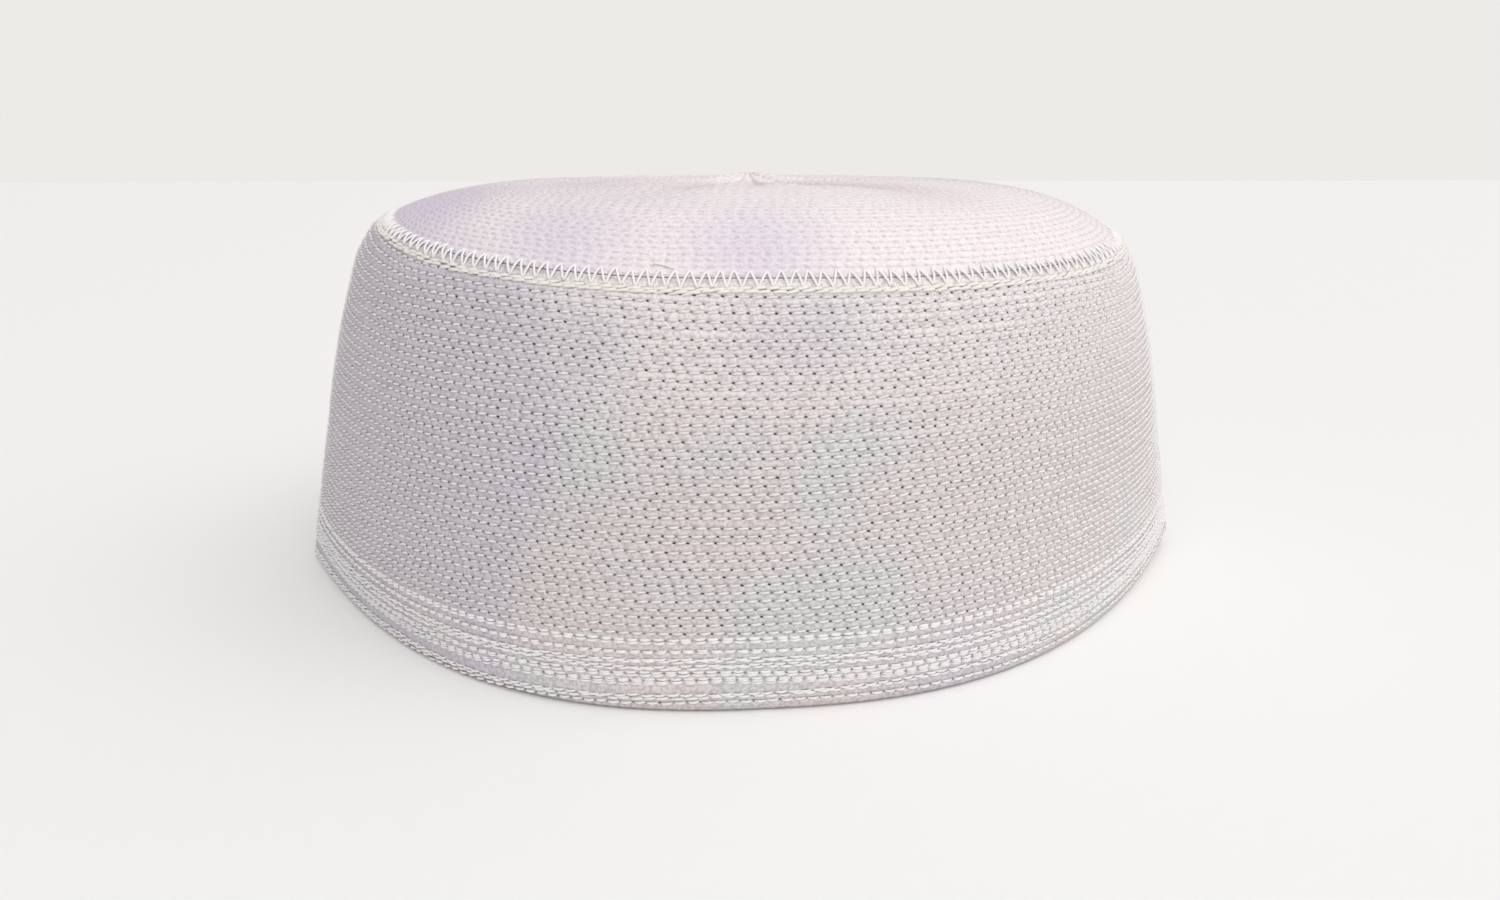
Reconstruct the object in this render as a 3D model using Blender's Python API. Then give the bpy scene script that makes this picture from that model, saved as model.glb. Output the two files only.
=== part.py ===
"""Stiff quilted prayer cap: a side band and a gathered crown, standing on its rim. Metres, +Z up.

+X and -X are the two ends where the band creases when the cap is stored flat, and -Y is the front.
"""

import math

import bmesh
import bpy
import numpy as np

# Outer face of the band, one row for each level from the rim up to the crown seam. The outline at a level is
# y = half_depth (1 - |x / half_width|^fullness)^point: a lens with sharp ends where point is about 1, and a
# round oval where it is near a half.
BAND_COLUMNS = ("height", "half_width", "half_depth", "fullness", "point")
BAND_LEVELS = (
    (0.0000, 0.1053, 0.0814, 2.50, 1.07),
    (0.0150, 0.1020, 0.0828, 2.30, 0.85),
    (0.0310, 0.0980, 0.0817, 2.20, 0.73),
    (0.0460, 0.0938, 0.0799, 2.12, 0.62),
    (0.0620, 0.0876, 0.0755, 2.06, 0.49),
    (0.0700, 0.0837, 0.0735, 2.02, 0.43),
    (0.0742, 0.0804, 0.0717, 2.00, 0.40),
)
SEAM_HEIGHT = BAND_LEVELS[-1][0]
FRONT_SKEW = -0.06  # share by which the -X half of the rim is fuller than the +X half
END_RISE = 0.0046  # how much higher the crown seam is at the two creased ends than at the front
SEAM_TILT = -0.0018  # and how much higher again at +X than at the middle
RIM_LIFT_PLUS_X = 0.0023  # the creased ends of the rim stand this far off the surface
RIM_LIFT_MINUS_X = 0.0004
LIFT_SHARPNESS = 10  # power of the cosine that keeps the lift near the ends

# Crown, from the seam to the gathered centre
CROWN_TOP = 0.0890  # height of its almost flat middle
CROWN_FULLNESS = 6.0  # power of the radius at which it falls to the seam
GATHER_RISE = 0.0013  # how far the gathered centre stands above the middle
GATHER_SPREAD = 0.10  # share of the radius over which it rises
PLEAT_COLUMNS = ("angle", "width", "depth", "reach")  # degrees, degrees, metres, share of the radius
PLEATS = (
    (4, 7, 0.0016, 0.42),
    (27, 8, 0.0020, 0.55),
    (49, 7, 0.0014, 0.38),
    (71, 8, 0.0019, 0.50),
    (95, 7, 0.0016, 0.44),
    (118, 8, 0.0021, 0.58),
    (140, 7, 0.0015, 0.40),
    (163, 8, 0.0018, 0.52),
    (186, 7, 0.0015, 0.41),
    (208, 8, 0.0019, 0.56),
    (228, 7, 0.0018, 0.66),
    (248, 8, 0.0022, 0.76),
    (271, 6, 0.0020, 0.60),
    (290, 7, 0.0018, 0.64),
    (308, 9, 0.0030, 0.84),
    (333, 7, 0.0016, 0.48),
)
PLEAT_START = 0.15  # share of the radius within which the pleats run together into the gather

# Cloth
WALL = 0.0024  # several layers of cotton quilted together
HEM_WALL = 0.0034  # the same with the turned-in edge
HEM_HEIGHT = 0.0120
CROWN_WALL = 0.0020
SEAM_GAP = 0.0003  # between the butted edges under the zigzag
FOLD_RADIUS = 0.0009  # of the rim's folded edge
FOLD_RISE = 0.0010  # and the height at which its faces turn upright

# Mesh
COLUMNS = 96  # round the cap
BAND_HEIGHTS = (0.002, 0.006, 0.012, 0.016, 0.024, 0.033, 0.042, 0.051, 0.059, 0.065, 0.069, 0.072)
CROWN_RADII = (0.965, 0.92, 0.87, 0.80, 0.70, 0.58, 0.46, 0.34, 0.23, 0.13, 0.06)
ARC_SAMPLES = 4000


def table(rows, columns):
    """The rows as one array for each named column."""
    return dict(zip(columns, np.array(rows, float).T))


def smooth(x, xs, ys):
    """Cubic through the points whose slope at each point is the mean of the slopes beside it."""
    slopes = np.gradient(ys, xs)
    i = np.clip(np.searchsorted(xs, x) - 1, 0, len(xs) - 2)
    step = xs[i + 1] - xs[i]
    t = (x - xs[i]) / step
    start = (1 + 2 * t) * (1 - t) ** 2 * ys[i] + t * (1 - t) ** 2 * step * slopes[i]
    end = t * t * (3 - 2 * t) * ys[i + 1] - t * t * (1 - t) * step * slopes[i + 1]
    return start + end


def outline(half_width, half_depth, fullness, point, skew, count=COLUMNS):
    """Points at equal arc lengths round a level from the +X end, with the angle t that each lies at.

    x = half_width cos t and y = half_depth (1 - |cos t|^fullness)^point, fuller by the skew towards -X.
    """
    t = np.linspace(0, 2 * math.pi, ARC_SAMPLES + 1)
    cosine = np.cos(t)
    x = half_width * cosine
    y = half_depth * np.sign(np.sin(t)) * (1 - np.abs(cosine) ** fullness) ** point * (1 + skew * cosine)
    run = np.concatenate([[0], np.cumsum(np.hypot(np.diff(x), np.diff(y)))])
    places = run[-1] * np.arange(count) / count
    return np.interp(places, run, x), np.interp(places, run, y), np.interp(places, run, t)


def band_level(height):
    """Ring of points of the band's outer face at a height, lifted at the ends as the cloth is."""
    band = table(BAND_LEVELS, BAND_COLUMNS)
    sizes = [smooth(height, band["height"], band[name]) for name in BAND_COLUMNS[1:]]
    up = height / SEAM_HEIGHT
    x, y, t = outline(*sizes, FRONT_SKEW * (1 - up))
    cosine = np.cos(t)
    lift = RIM_LIFT_PLUS_X * np.clip(cosine, 0, 1) ** LIFT_SHARPNESS
    lift += RIM_LIFT_MINUS_X * np.clip(-cosine, 0, 1) ** LIFT_SHARPNESS
    z = height + (1 - up) ** 3 * lift + up * (END_RISE * cosine**2 + SEAM_TILT * cosine)
    return np.stack([x, y, z], axis=-1)


def pleat_drop(angle, radius):
    """Depth of the pleats at an angle in degrees and a share of the radius: each is a narrow valley."""
    pleats = table(PLEATS, PLEAT_COLUMNS)
    drop = np.zeros(np.broadcast(angle, radius).shape)
    for at, width, depth, reach in zip(*(pleats[name] for name in PLEAT_COLUMNS)):
        aside = (angle - at + 180) % 360 - 180
        fade = np.clip(1 - radius / reach, 0, 1) * np.clip(radius / PLEAT_START, 0, 1)
        drop = drop + depth * np.exp(-((aside / width) ** 2)) * fade
    return drop


def crown_level(radius, seam):
    """Ring of the crown's outer face at a share of the radius, from the ring of the seam."""
    x = seam[:, 0] * radius
    y = seam[:, 1] * radius
    angle = np.degrees(np.arctan2(seam[:, 1], seam[:, 0]))
    z = seam[:, 2] + (CROWN_TOP - seam[:, 2]) * (1 - radius**CROWN_FULLNESS)
    z = z + GATHER_RISE * math.exp(-((radius / GATHER_SPREAD) ** 2)) - pleat_drop(angle, radius)
    return np.stack([x, y, z], axis=-1)


def unit(vectors):
    return vectors / np.linalg.norm(vectors, axis=-1, keepdims=True)


def normals(rings):
    """Outward unit normals of a grid of rings that are closed round the cap and listed upwards."""
    along = np.roll(rings, -1, axis=1) - np.roll(rings, 1, axis=1)
    up = np.gradient(rings, axis=0)
    return unit(np.cross(along, up))


def outer_rings():
    """Rings and normals of the outer face: the band's up to the seam, then the crown's from it."""
    seam = band_level(SEAM_HEIGHT)
    band = [band_level(h) for h in (0.0, *BAND_HEIGHTS)]
    crown = [crown_level(r, seam) for r in CROWN_RADII]
    rings = np.array([*band, seam, *crown])
    facing = normals(rings)
    at = len(band)
    across = unit(unit(rings[at + 1] - seam) + unit(seam - rings[at - 1])) * SEAM_GAP / 2
    band_face = np.array([*band, seam - across])
    crown_face = np.array([seam + across, *crown])
    return band_face, facing[: at + 1], crown_face, facing[at:]


def band_rings():
    """The band's section carried round the cap: up its outer face and down its inner one."""
    outer, facing, _, _ = outer_rings()
    facing[0] = unit(facing[0] * (1, 1, 0))
    heights = np.array((0.0, *BAND_HEIGHTS, SEAM_HEIGHT))
    wall = np.where(heights <= HEM_HEIGHT, HEM_WALL, WALL)[:, None, None]
    inner = outer - facing * wall
    underside = [outer[0] - facing[0] * FOLD_RADIUS, inner[0] + facing[0] * FOLD_RADIUS]
    raised = np.array([0, 0, FOLD_RISE])
    outer[0] += raised
    inner[0] += raised
    return [underside[0], *outer, *inner[::-1], underside[1]]


def crown_rings():
    """The crown's outer rings from the seam inwards and its inner rings back, and its two centres."""
    _, _, outer, facing = outer_rings()
    inner = outer - facing * CROWN_WALL
    middle = np.array([0, 0, CROWN_TOP + GATHER_RISE])
    return [*inner[::-1], *outer], middle - (0, 0, CROWN_WALL), middle


def new_object(name, points, faces, collection, colour):
    """A mesh object of the piece with its own cotton material, shaded smooth but for its sharp edges."""
    mesh = bpy.data.meshes.new(name)
    mesh.from_pydata([tuple(p) for p in points], [], faces)
    shell = bmesh.new()
    shell.from_mesh(mesh)
    bmesh.ops.recalc_face_normals(shell, faces=shell.faces)
    shell.to_mesh(mesh)
    shell.free()
    mesh.shade_smooth()
    mesh.set_sharp_from_angle(angle=math.radians(50))
    cotton = bpy.data.materials.new(name + "_cotton")
    cotton.use_nodes = True
    shader = cotton.node_tree.nodes["Principled BSDF"]
    shader.inputs["Base Color"].default_value = (*colour, 1)
    shader.inputs["Roughness"].default_value = 0.85
    mesh.materials.append(cotton)
    piece = bpy.data.objects.new(name, mesh)
    collection.objects.link(piece)
    return piece


def strip(first, second, count):
    """Quads between two rings of points, given by the indices that they start at."""
    return [(first + i, first + (i + 1) % count, second + (i + 1) % count, second + i) for i in range(count)]


def make_side_band(collection):
    rings = band_rings()
    starts = [i * COLUMNS for i in range(len(rings))]
    faces = []
    for first, second in zip(starts, starts[1:] + starts[:1]):
        faces += strip(first, second, COLUMNS)
    return new_object("side_band", np.concatenate(rings), faces, collection, (0.78, 0.76, 0.79))


def make_crown(collection):
    rings, under, over = crown_rings()
    starts = [i * COLUMNS for i in range(len(rings))]
    faces = []
    for first, second in zip(starts, starts[1:]):
        faces += strip(first, second, COLUMNS)
    points = np.concatenate([*rings, [under, over]])
    for ring, centre in ((starts[0], len(points) - 2), (starts[-1], len(points) - 1)):
        faces += [(ring + i, ring + (i + 1) % COLUMNS, centre) for i in range(COLUMNS)]
    return new_object("crown", points, faces, collection, (0.82, 0.80, 0.84))


for old in list(bpy.data.objects):
    bpy.data.objects.remove(old, do_unlink=True)
cap = bpy.data.collections.new("prayer_cap")
bpy.context.scene.collection.children.link(cap)
make_side_band(cap)
make_crown(cap)
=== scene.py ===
"""Looks of the stiff quilted prayer cap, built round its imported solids.

Metres, +Z up. The front faces -Y, and the two ends that crease when the cap lies flat are at +X and -X.
"""

import math

import bpy
import numpy as np
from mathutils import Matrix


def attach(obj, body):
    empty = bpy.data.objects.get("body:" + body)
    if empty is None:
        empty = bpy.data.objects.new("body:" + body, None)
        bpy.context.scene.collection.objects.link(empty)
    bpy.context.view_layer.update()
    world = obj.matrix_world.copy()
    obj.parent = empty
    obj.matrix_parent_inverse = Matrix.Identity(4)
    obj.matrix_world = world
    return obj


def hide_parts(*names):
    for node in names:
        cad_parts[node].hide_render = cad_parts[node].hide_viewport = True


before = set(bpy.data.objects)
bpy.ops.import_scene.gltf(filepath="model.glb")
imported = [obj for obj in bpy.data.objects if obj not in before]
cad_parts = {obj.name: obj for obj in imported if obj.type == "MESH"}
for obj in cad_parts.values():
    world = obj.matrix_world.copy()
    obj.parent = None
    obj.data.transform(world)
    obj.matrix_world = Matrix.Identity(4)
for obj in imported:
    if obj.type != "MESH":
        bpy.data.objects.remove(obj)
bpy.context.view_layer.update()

# Side band
# The wall of the cap: several layers of off-white cotton, stiffened only by the rows of machine stitching
# that run round it, one every 1.4 mm. The cloth puffs up into a rib between two rows. It stands on its
# turned hem, and the zigzag seam fixes the crown to its top edge.
MM = 0.001
BAND_COLUMNS = ("height", "half_width", "half_depth", "fullness", "point")
BAND_LEVELS = (
    (0.0000, 0.1053, 0.0814, 2.50, 1.07),
    (0.0150, 0.1020, 0.0828, 2.30, 0.85),
    (0.0310, 0.0980, 0.0817, 2.20, 0.73),
    (0.0460, 0.0938, 0.0799, 2.12, 0.62),
    (0.0620, 0.0876, 0.0755, 2.06, 0.49),
    (0.0700, 0.0837, 0.0735, 2.02, 0.43),
    (0.0742, 0.0804, 0.0717, 2.00, 0.40),
)
SEAM_HEIGHT = BAND_LEVELS[-1][0]
FRONT_SKEW = -0.06  # share by which the -X half of the rim is fuller than the +X half
END_RISE = 0.0046  # how much higher the crown seam is at the two creased ends than at the front
SEAM_TILT = -0.0018  # and how much higher again at +X than at the middle
RIM_LIFT_PLUS_X = 0.0023  # the creased ends of the rim stand this far off the surface
RIM_LIFT_MINUS_X = 0.0004
LIFT_SHARPNESS = 10  # power of the cosine that keeps the lift near the ends
CROWN_TOP = 0.0890
CROWN_FULLNESS = 6.0  # power of the radius at which the crown falls to the seam
GATHER_RISE = 0.0013
GATHER_SPREAD = 0.10  # share of the radius over which the gathered centre rises
PLEAT_COLUMNS = ("angle", "width", "depth", "reach")  # degrees, degrees, metres, share of the radius
PLEATS = (
    (4, 7, 0.0016, 0.42),
    (27, 8, 0.0020, 0.55),
    (49, 7, 0.0014, 0.38),
    (71, 8, 0.0019, 0.50),
    (95, 7, 0.0016, 0.44),
    (118, 8, 0.0021, 0.58),
    (140, 7, 0.0015, 0.40),
    (163, 8, 0.0018, 0.52),
    (186, 7, 0.0015, 0.41),
    (208, 8, 0.0019, 0.56),
    (228, 7, 0.0018, 0.66),
    (248, 8, 0.0022, 0.76),
    (271, 6, 0.0020, 0.60),
    (290, 7, 0.0018, 0.64),
    (308, 9, 0.0030, 0.84),
    (333, 7, 0.0016, 0.48),
)
PLEAT_START = 0.15  # share of the radius within which the pleats run together into the gather
CREASES = 46  # small creases between the pleats, deepest near the gathered centre
CREASE_DEPTH = 0.00055
CREASE_WIDTH = 2.1  # degrees
CREASE_START = 0.08  # share of the radius at which they start. They are full at twice as much
CREASE_STRAY = 0.3  # share of their spacing by which they stray
CREASE_DEPTHS = (0.35, 1.3)  # shares of the depth between which they differ
CREASE_REACHES = (0.25, 0.75)  # shares of the radius at which they end
ARC_SAMPLES = 4000
CHART_COLUMNS = 1440  # places round the cap at which its outer face is worked out
CHART_SHARES = np.arange(CHART_COLUMNS) / CHART_COLUMNS
CHART_BAND_LEVELS = 76
CHART_CROWN_LEVELS = 90
FACING_REACH = 5  # columns to each side over which the face's direction is taken, so the creases stay soft


def table(rows, columns):
    """The rows as one array for each named column."""
    return dict(zip(columns, np.array(rows, float).T))


def smooth(x, xs, ys):
    """Cubic through the points whose slope at each point is the mean of the slopes beside it."""
    slopes = np.gradient(ys, xs)
    i = np.clip(np.searchsorted(xs, x) - 1, 0, len(xs) - 2)
    step = xs[i + 1] - xs[i]
    t = (x - xs[i]) / step
    start = (1 + 2 * t) * (1 - t) ** 2 * ys[i] + t * (1 - t) ** 2 * step * slopes[i]
    end = t * t * (3 - 2 * t) * ys[i + 1] - t * t * (1 - t) * step * slopes[i + 1]
    return start + end


def outline(half_width, half_depth, fullness, point, skew):
    """Points at equal arc lengths round a level from the +X end, with the angle t that each lies at.

    x = half_width cos t and y = half_depth (1 - |cos t|^fullness)^point, fuller by the skew towards -X.
    """
    t = np.linspace(0, 2 * math.pi, ARC_SAMPLES + 1)
    cosine = np.cos(t)
    x = half_width * cosine
    y = half_depth * np.sign(np.sin(t)) * (1 - np.abs(cosine) ** fullness) ** point * (1 + skew * cosine)
    run = np.concatenate([[0], np.cumsum(np.hypot(np.diff(x), np.diff(y)))])
    places = run[-1] * CHART_SHARES
    return np.interp(places, run, x), np.interp(places, run, y), np.interp(places, run, t)


def band_level(height):
    """Ring of the band's outer face at a height: the outline there, raised towards the two creased ends."""
    band = table(BAND_LEVELS, BAND_COLUMNS)
    sizes = [smooth(height, band["height"], band[name]) for name in BAND_COLUMNS[1:]]
    up = height / SEAM_HEIGHT
    x, y, t = outline(*sizes, FRONT_SKEW * (1 - up))
    cosine = np.cos(t)
    lift = RIM_LIFT_PLUS_X * np.clip(cosine, 0, 1) ** LIFT_SHARPNESS
    lift += RIM_LIFT_MINUS_X * np.clip(-cosine, 0, 1) ** LIFT_SHARPNESS
    z = height + (1 - up) ** 3 * lift + up * (END_RISE * cosine**2 + SEAM_TILT * cosine)
    return np.stack([x, y, z], axis=-1)


def pleat_drop(angle, radius):
    """Depth of the pleats at angles in degrees and a share of the radius.

    Each pleat is a narrow bell-shaped valley across the angle, and fades out towards its reach.
    """
    pleats = table(PLEATS, PLEAT_COLUMNS)
    radius = np.asarray(radius)[..., None]
    aside = (angle[:, None] - pleats["angle"] + 180) % 360 - 180
    fade = np.clip(1 - radius / pleats["reach"], 0, 1) * np.clip(radius / PLEAT_START, 0, 1)
    return (pleats["depth"] * np.exp(-((aside / pleats["width"]) ** 2)) * fade).sum(axis=1)


def crease_drop(angle, radius):
    """Depth of the small creases: evenly spread bells that stray, differ in depth and end at a reach."""
    random = np.random.default_rng(3)
    at = (np.arange(CREASES) + random.uniform(-CREASE_STRAY, CREASE_STRAY, CREASES)) * 360 / CREASES
    depth = CREASE_DEPTH * random.uniform(*CREASE_DEPTHS, CREASES)
    reach = random.uniform(*CREASE_REACHES, CREASES)
    radius = np.asarray(radius)[..., None]
    aside = (angle[:, None] - at + 180) % 360 - 180
    fade = np.clip(1 - radius / reach, 0, 1) * np.clip((radius - CREASE_START) / CREASE_START, 0, 1)
    return (depth * np.exp(-((aside / CREASE_WIDTH) ** 2)) * fade).sum(axis=1)


def crown_level(radius, seam):
    """Ring of the crown's outer face at a share of the radius.

    It is the seam's ring shrunk to the share r and raised by 1 - r^fullness of the way to the top. A bell
    raises the centre, and the pleats and creases lower it in places.
    """
    angle = np.degrees(np.arctan2(seam[:, 1], seam[:, 0]))
    z = seam[:, 2] + (CROWN_TOP - seam[:, 2]) * (1 - radius**CROWN_FULLNESS)
    z = z + GATHER_RISE * math.exp(-((radius / GATHER_SPREAD) ** 2))
    z = z - pleat_drop(angle, radius) - crease_drop(angle, radius)
    return np.stack([seam[:, 0] * radius, seam[:, 1] * radius, z], axis=-1)


def unit(vectors):
    """The vectors at length 1."""
    return vectors / np.maximum(np.linalg.norm(vectors, axis=-1, keepdims=True), 1e-12)


def outer_face():
    """The outer face as a grid of levels by places round the cap, its outward directions and its run.

    The run is the distance from the rim to each level, measured up the middle of the front.
    """
    seam = band_level(SEAM_HEIGHT)
    band = [band_level(height) for height in np.linspace(0, SEAM_HEIGHT, CHART_BAND_LEVELS)]
    crown = [crown_level(radius, seam) for radius in np.linspace(1, 0, CHART_CROWN_LEVELS + 1)[1:]]
    points = np.array(band + crown)
    along = np.roll(points, -FACING_REACH, axis=1) - np.roll(points, FACING_REACH, axis=1)
    facing = unit(np.cross(along, np.gradient(points, axis=0)))
    facing[-1] = (0, 0, 1)
    front = np.argmin(np.abs(seam[:, 0]) + (seam[:, 1] > 0))
    climb = np.linalg.norm(np.diff(points[:, front], axis=0), axis=-1)
    return points, facing, np.concatenate([[0], np.cumsum(climb)])


FACE, FACING, RUN = outer_face()
SEAM_RUN = RUN[CHART_BAND_LEVELS - 1]
CENTRE_RUN = RUN[-1]


def mixed(grid, share, level):
    """Values of a grid of levels by places round the cap, mixed in proportion between the nearest four."""
    column = np.asarray(share) % 1 * CHART_COLUMNS
    left = np.floor(column).astype(int)
    below = np.clip(np.floor(level).astype(int), 0, len(grid) - 2)
    across = (column - left).reshape(column.shape + (1,) * (grid.ndim - 2))
    rise = (level - below).reshape(column.shape + (1,) * (grid.ndim - 2))
    left %= CHART_COLUMNS
    right = (left + 1) % CHART_COLUMNS
    low = grid[below, left] * (1 - across) + grid[below, right] * across
    high = grid[below + 1, left] * (1 - across) + grid[below + 1, right] * across
    return low * (1 - rise) + high * rise


def on_face(share, run, lift):
    """Points at a share of the way round, a run up from the rim and a lift off the face, and their facing.

    The run is turned into a level by way of the front's runs, and the point goes out by the lift.
    """
    share, run, lift = np.broadcast_arrays(share, run, lift)
    level = np.interp(run, RUN, np.arange(len(RUN)))
    facing = unit(mixed(FACING, share, level))
    return mixed(FACE, share, level) + facing * lift[..., None], facing


# The rows of stitching, as the run of each one at every place round the cap
STITCH = 2.35 * MM  # from one needle hole to the next
ROW_PITCH = 1.42 * MM
FINE_ROWS = 41
FINE_START = 15.9 * MM  # run of the lowest fine row
FINE_END = 72.9 * MM
ROW_UNEVEN = 0.08 * MM  # how far a row strays from even spacing
ROW_WANDER = 0.07 * MM  # and how far it wavers on its way round
HEM_ROWS = (
    # Runs in mm at three places along the front, threads side by side, mm between them, mm wide, share of a
    # stitch that shows, strength of the needle holes
    (0.9, 2.3, 2.2, 1, 0.00, 0.44, 0.86, 0.9),
    (1.7, 3.7, 4.1, 2, 0.48, 0.46, 0.94, 0.7),
    (4.9, 6.7, 5.9, 3, 0.42, 0.46, 0.88, 0.7),
    (6.5, 8.2, 7.3, 2, 0.48, 0.52, 0.88, 0.7),
    (8.0, 9.6, 9.1, 2, 0.40, 0.48, 0.97, 0.6),
    (9.0, 10.7, 10.5, 2, 0.40, 0.48, 0.97, 0.6),
    (10.9, 12.4, 12.3, 2, 0.28, 0.46, 0.80, 0.5),
    (13.1, 14.4, 14.2, 2, 0.54, 0.60, 0.80, 0.5),
)
HEM_PLACES = (-0.055, -0.010, 0.025)  # x of these places: left, front and right
SEAM_SHIFTS = (  # share of the way round, mm by which the crown seam strays from the solids' seam
    (0.00, 4.6), (0.04, 3.2), (0.08, 0.9), (0.12, 0.1),
    (0.25, 0.2), (0.38, 0.2), (0.42, 2.2), (0.46, 5.0),
    (0.50, 6.6), (0.54, 5.2), (0.58, 2.4), (0.62, 0.3),
    (0.66, -0.3), (0.70, -0.2), (0.755, 0.7), (0.82, 0.4),
    (0.88, 0.2), (0.92, 1.1), (0.96, 3.2), (1.00, 4.6),
)
SEAM_CLEAR = 0.7 * MM  # rise of the seam that the upper fine rows don't follow
HEM_FOLLOW = 0.8  # share of the hem rows' fall that the lowest fine row follows
waver_random = np.random.default_rng(11)


def waver(count, size):
    """For each of some rows, a sum of six waves of random phase round the cap, about as big as the size."""
    wave = np.arange(2, 14, 2)
    phase = waver_random.uniform(0, 2 * math.pi, (count, len(wave), 1))
    strength = waver_random.normal(0, size / math.sqrt(3), (count, len(wave), 1))
    return (strength * np.cos(2 * math.pi * wave[:, None] * CHART_SHARES + phase)).sum(axis=1)


def hem_lines():
    """Runs of the rows above the rim, which lie lower on the left than on the right."""
    runs = np.array([np.interp(FACE[0, :, 0], HEM_PLACES, row[:3]) for row in HEM_ROWS]) * MM
    return runs + waver(len(HEM_ROWS), ROW_WANDER)


def fine_lines(hem, seam):
    """Runs of the fine rows, evenly spaced but for a small stray.

    The lower ones ease down where the hem's rows do, and the upper ones ease up where the seam does.
    """
    even = np.linspace(FINE_START, FINE_END, FINE_ROWS) + waver_random.normal(0, ROW_UNEVEN, FINE_ROWS)
    fade = ((FINE_END - even) / (FINE_END - FINE_START))[:, None]
    down = hem[-1] - hem[-1].max()
    up = np.maximum(seam - SEAM_RUN - SEAM_CLEAR, 0)
    return even[:, None] + fade * down * HEM_FOLLOW + (1 - fade) ** 3 * up + waver(FINE_ROWS, ROW_WANDER)


def seam_line():
    """Runs of the crown seam: the solids' seam shifted by a smooth curve through the table's places."""
    return SEAM_RUN + smooth(CHART_SHARES, *np.array(SEAM_SHIFTS).T) * MM


HEM_LINES = hem_lines()
SEAM_LINE = seam_line()
FINE_LINES = fine_lines(HEM_LINES, SEAM_LINE)
SHOULDER_DROP = 2.2 * MM  # the heavy shoulder row below the seam
SHOULDER_LINE = SEAM_LINE - SHOULDER_DROP

# The cloth of the band
BAND_MESH_COLUMNS = 360  # places round the cap, a whole share of the chart's
RIB_STEPS = (0.0, 0.22, 0.5, 0.78)  # places from one row to the next
RIB_RELIEF = (-0.20 * MM, -0.02 * MM, 0.06 * MM, -0.02 * MM)  # and the cloth's height at them
RIB_SCALES = (0.35, 1.15)  # least and greatest share of the relief, where rows lie close or far apart
PUFF = 0.035 * MM  # unevenness of the ribs
GOLDEN_SHARE = 0.618034
PHASE_WAVE = (0.25, 2.4)  # stitches, and radians from row to row, of the wave in the rows' starts
WALL = 2.4 * MM
HEM_WALL = 3.4 * MM
HEM_TOP = 12 * MM  # the turned-in edge ends here, inside
HEM_EASE = 3 * MM
SEAM_GAP = 0.12 * MM
EDGE_DEPTH = 0.2 * MM  # how deep the butted edges are rounded
INSIDE_PITCH = 2.6 * MM
INNER_END = 0.1 * MM  # from a butted edge to the first ring of the face
BAND_EDGE = 0.6 * MM  # from the seam to the last rib's end
CROWN_EDGE = 0.7 * MM  # and on the crown's side
FOLD_RUN = 1.0 * MM  # where the hem's fold starts
FOLD_TURNS = np.arange(165, 0, -15)  # degrees round the fold, from the inside out
FOLD_TUCK = 1.8  # power of the sine that rounds the fold under the rim
puff_random = np.random.default_rng(5)


def round_cap(line, columns):
    """A line's runs at a mesh's columns, with the first one again at the end for the join."""
    return np.append(line[:: CHART_COLUMNS // columns], line[0])


def row_lengths(lines):
    """Length of each row round the cap."""
    points, _ = on_face(CHART_SHARES, lines, 0.0)
    return np.linalg.norm(np.roll(points, -1, axis=1) - points, axis=-1).sum(axis=1)


def stitch_counts(lines):
    """Stitches in each row, a whole number of them, and the share of a stitch at which each row starts.

    The starts move on by the golden share and a sine wave from row to row, so the holes form no columns.
    """
    counts = np.maximum(np.round(row_lengths(lines) / STITCH), 3)
    row = np.arange(len(lines))
    phases = (row * GOLDEN_SHARE + PHASE_WAVE[0] * np.sin(row * PHASE_WAVE[1])) % 1
    return counts, phases


def ribbed_rings(lines, steps, relief, columns):
    """Rings of quilted cloth between rows of stitching, with their coordinate v across the rows.

    Each ring lies a share of the way from one row to the next, at the relief of that share. v is whole at
    each row, and grows by the distance from the nearer row in row pitches.
    """
    steps = np.array(steps)
    every = CHART_COLUMNS // columns
    held = np.concatenate([lines[:, ::every], lines[:, :1]], axis=1)
    spacing = np.diff(held, axis=0)[:, None]
    runs = held[:-1, None] + spacing * steps[None, :, None]
    soft = np.clip(spacing / ROW_PITCH, *RIB_SCALES)
    lift = np.array(relief)[None, :, None] * soft
    lift = lift + puff_random.normal(0, PUFF, lift.shape[:2] + (held.shape[1],)) * (steps[:, None] > 0)
    lift[..., -1] = lift[..., 0]
    v = np.arange(len(lines) - 1)[:, None, None] + np.where(
        steps[None, :, None] <= 0.5,
        np.minimum(steps[None, :, None] * spacing / ROW_PITCH, 0.5),
        1 - np.minimum((1 - steps[None, :, None]) * spacing / ROW_PITCH, 0.5),
    )
    share = np.arange(columns + 1) / columns
    flat = (-1, columns + 1)
    points, _ = on_face(share, runs.reshape(flat), lift.reshape(flat))
    return points, v.reshape(flat)


def row_of_strips(count, steps):
    """For each strip of faces, the row that it belongs to: the nearer of the two that it lies between."""
    steps = np.array(steps)
    ends = np.concatenate([steps[1:], [1.0]])
    return (np.arange(count)[:, None] + ((steps + ends) / 2 > 0.5)).ravel()


def strips(rings, columns):
    """Quads between successive rings that each have the given number of columns and meet round the cap."""
    ring = np.arange(rings - 1)[:, None] * columns
    here = np.arange(columns)[None]
    there = (here + 1) % columns
    return np.stack([ring + here, ring + there, ring + columns + there, ring + columns + here], axis=-1)


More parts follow.
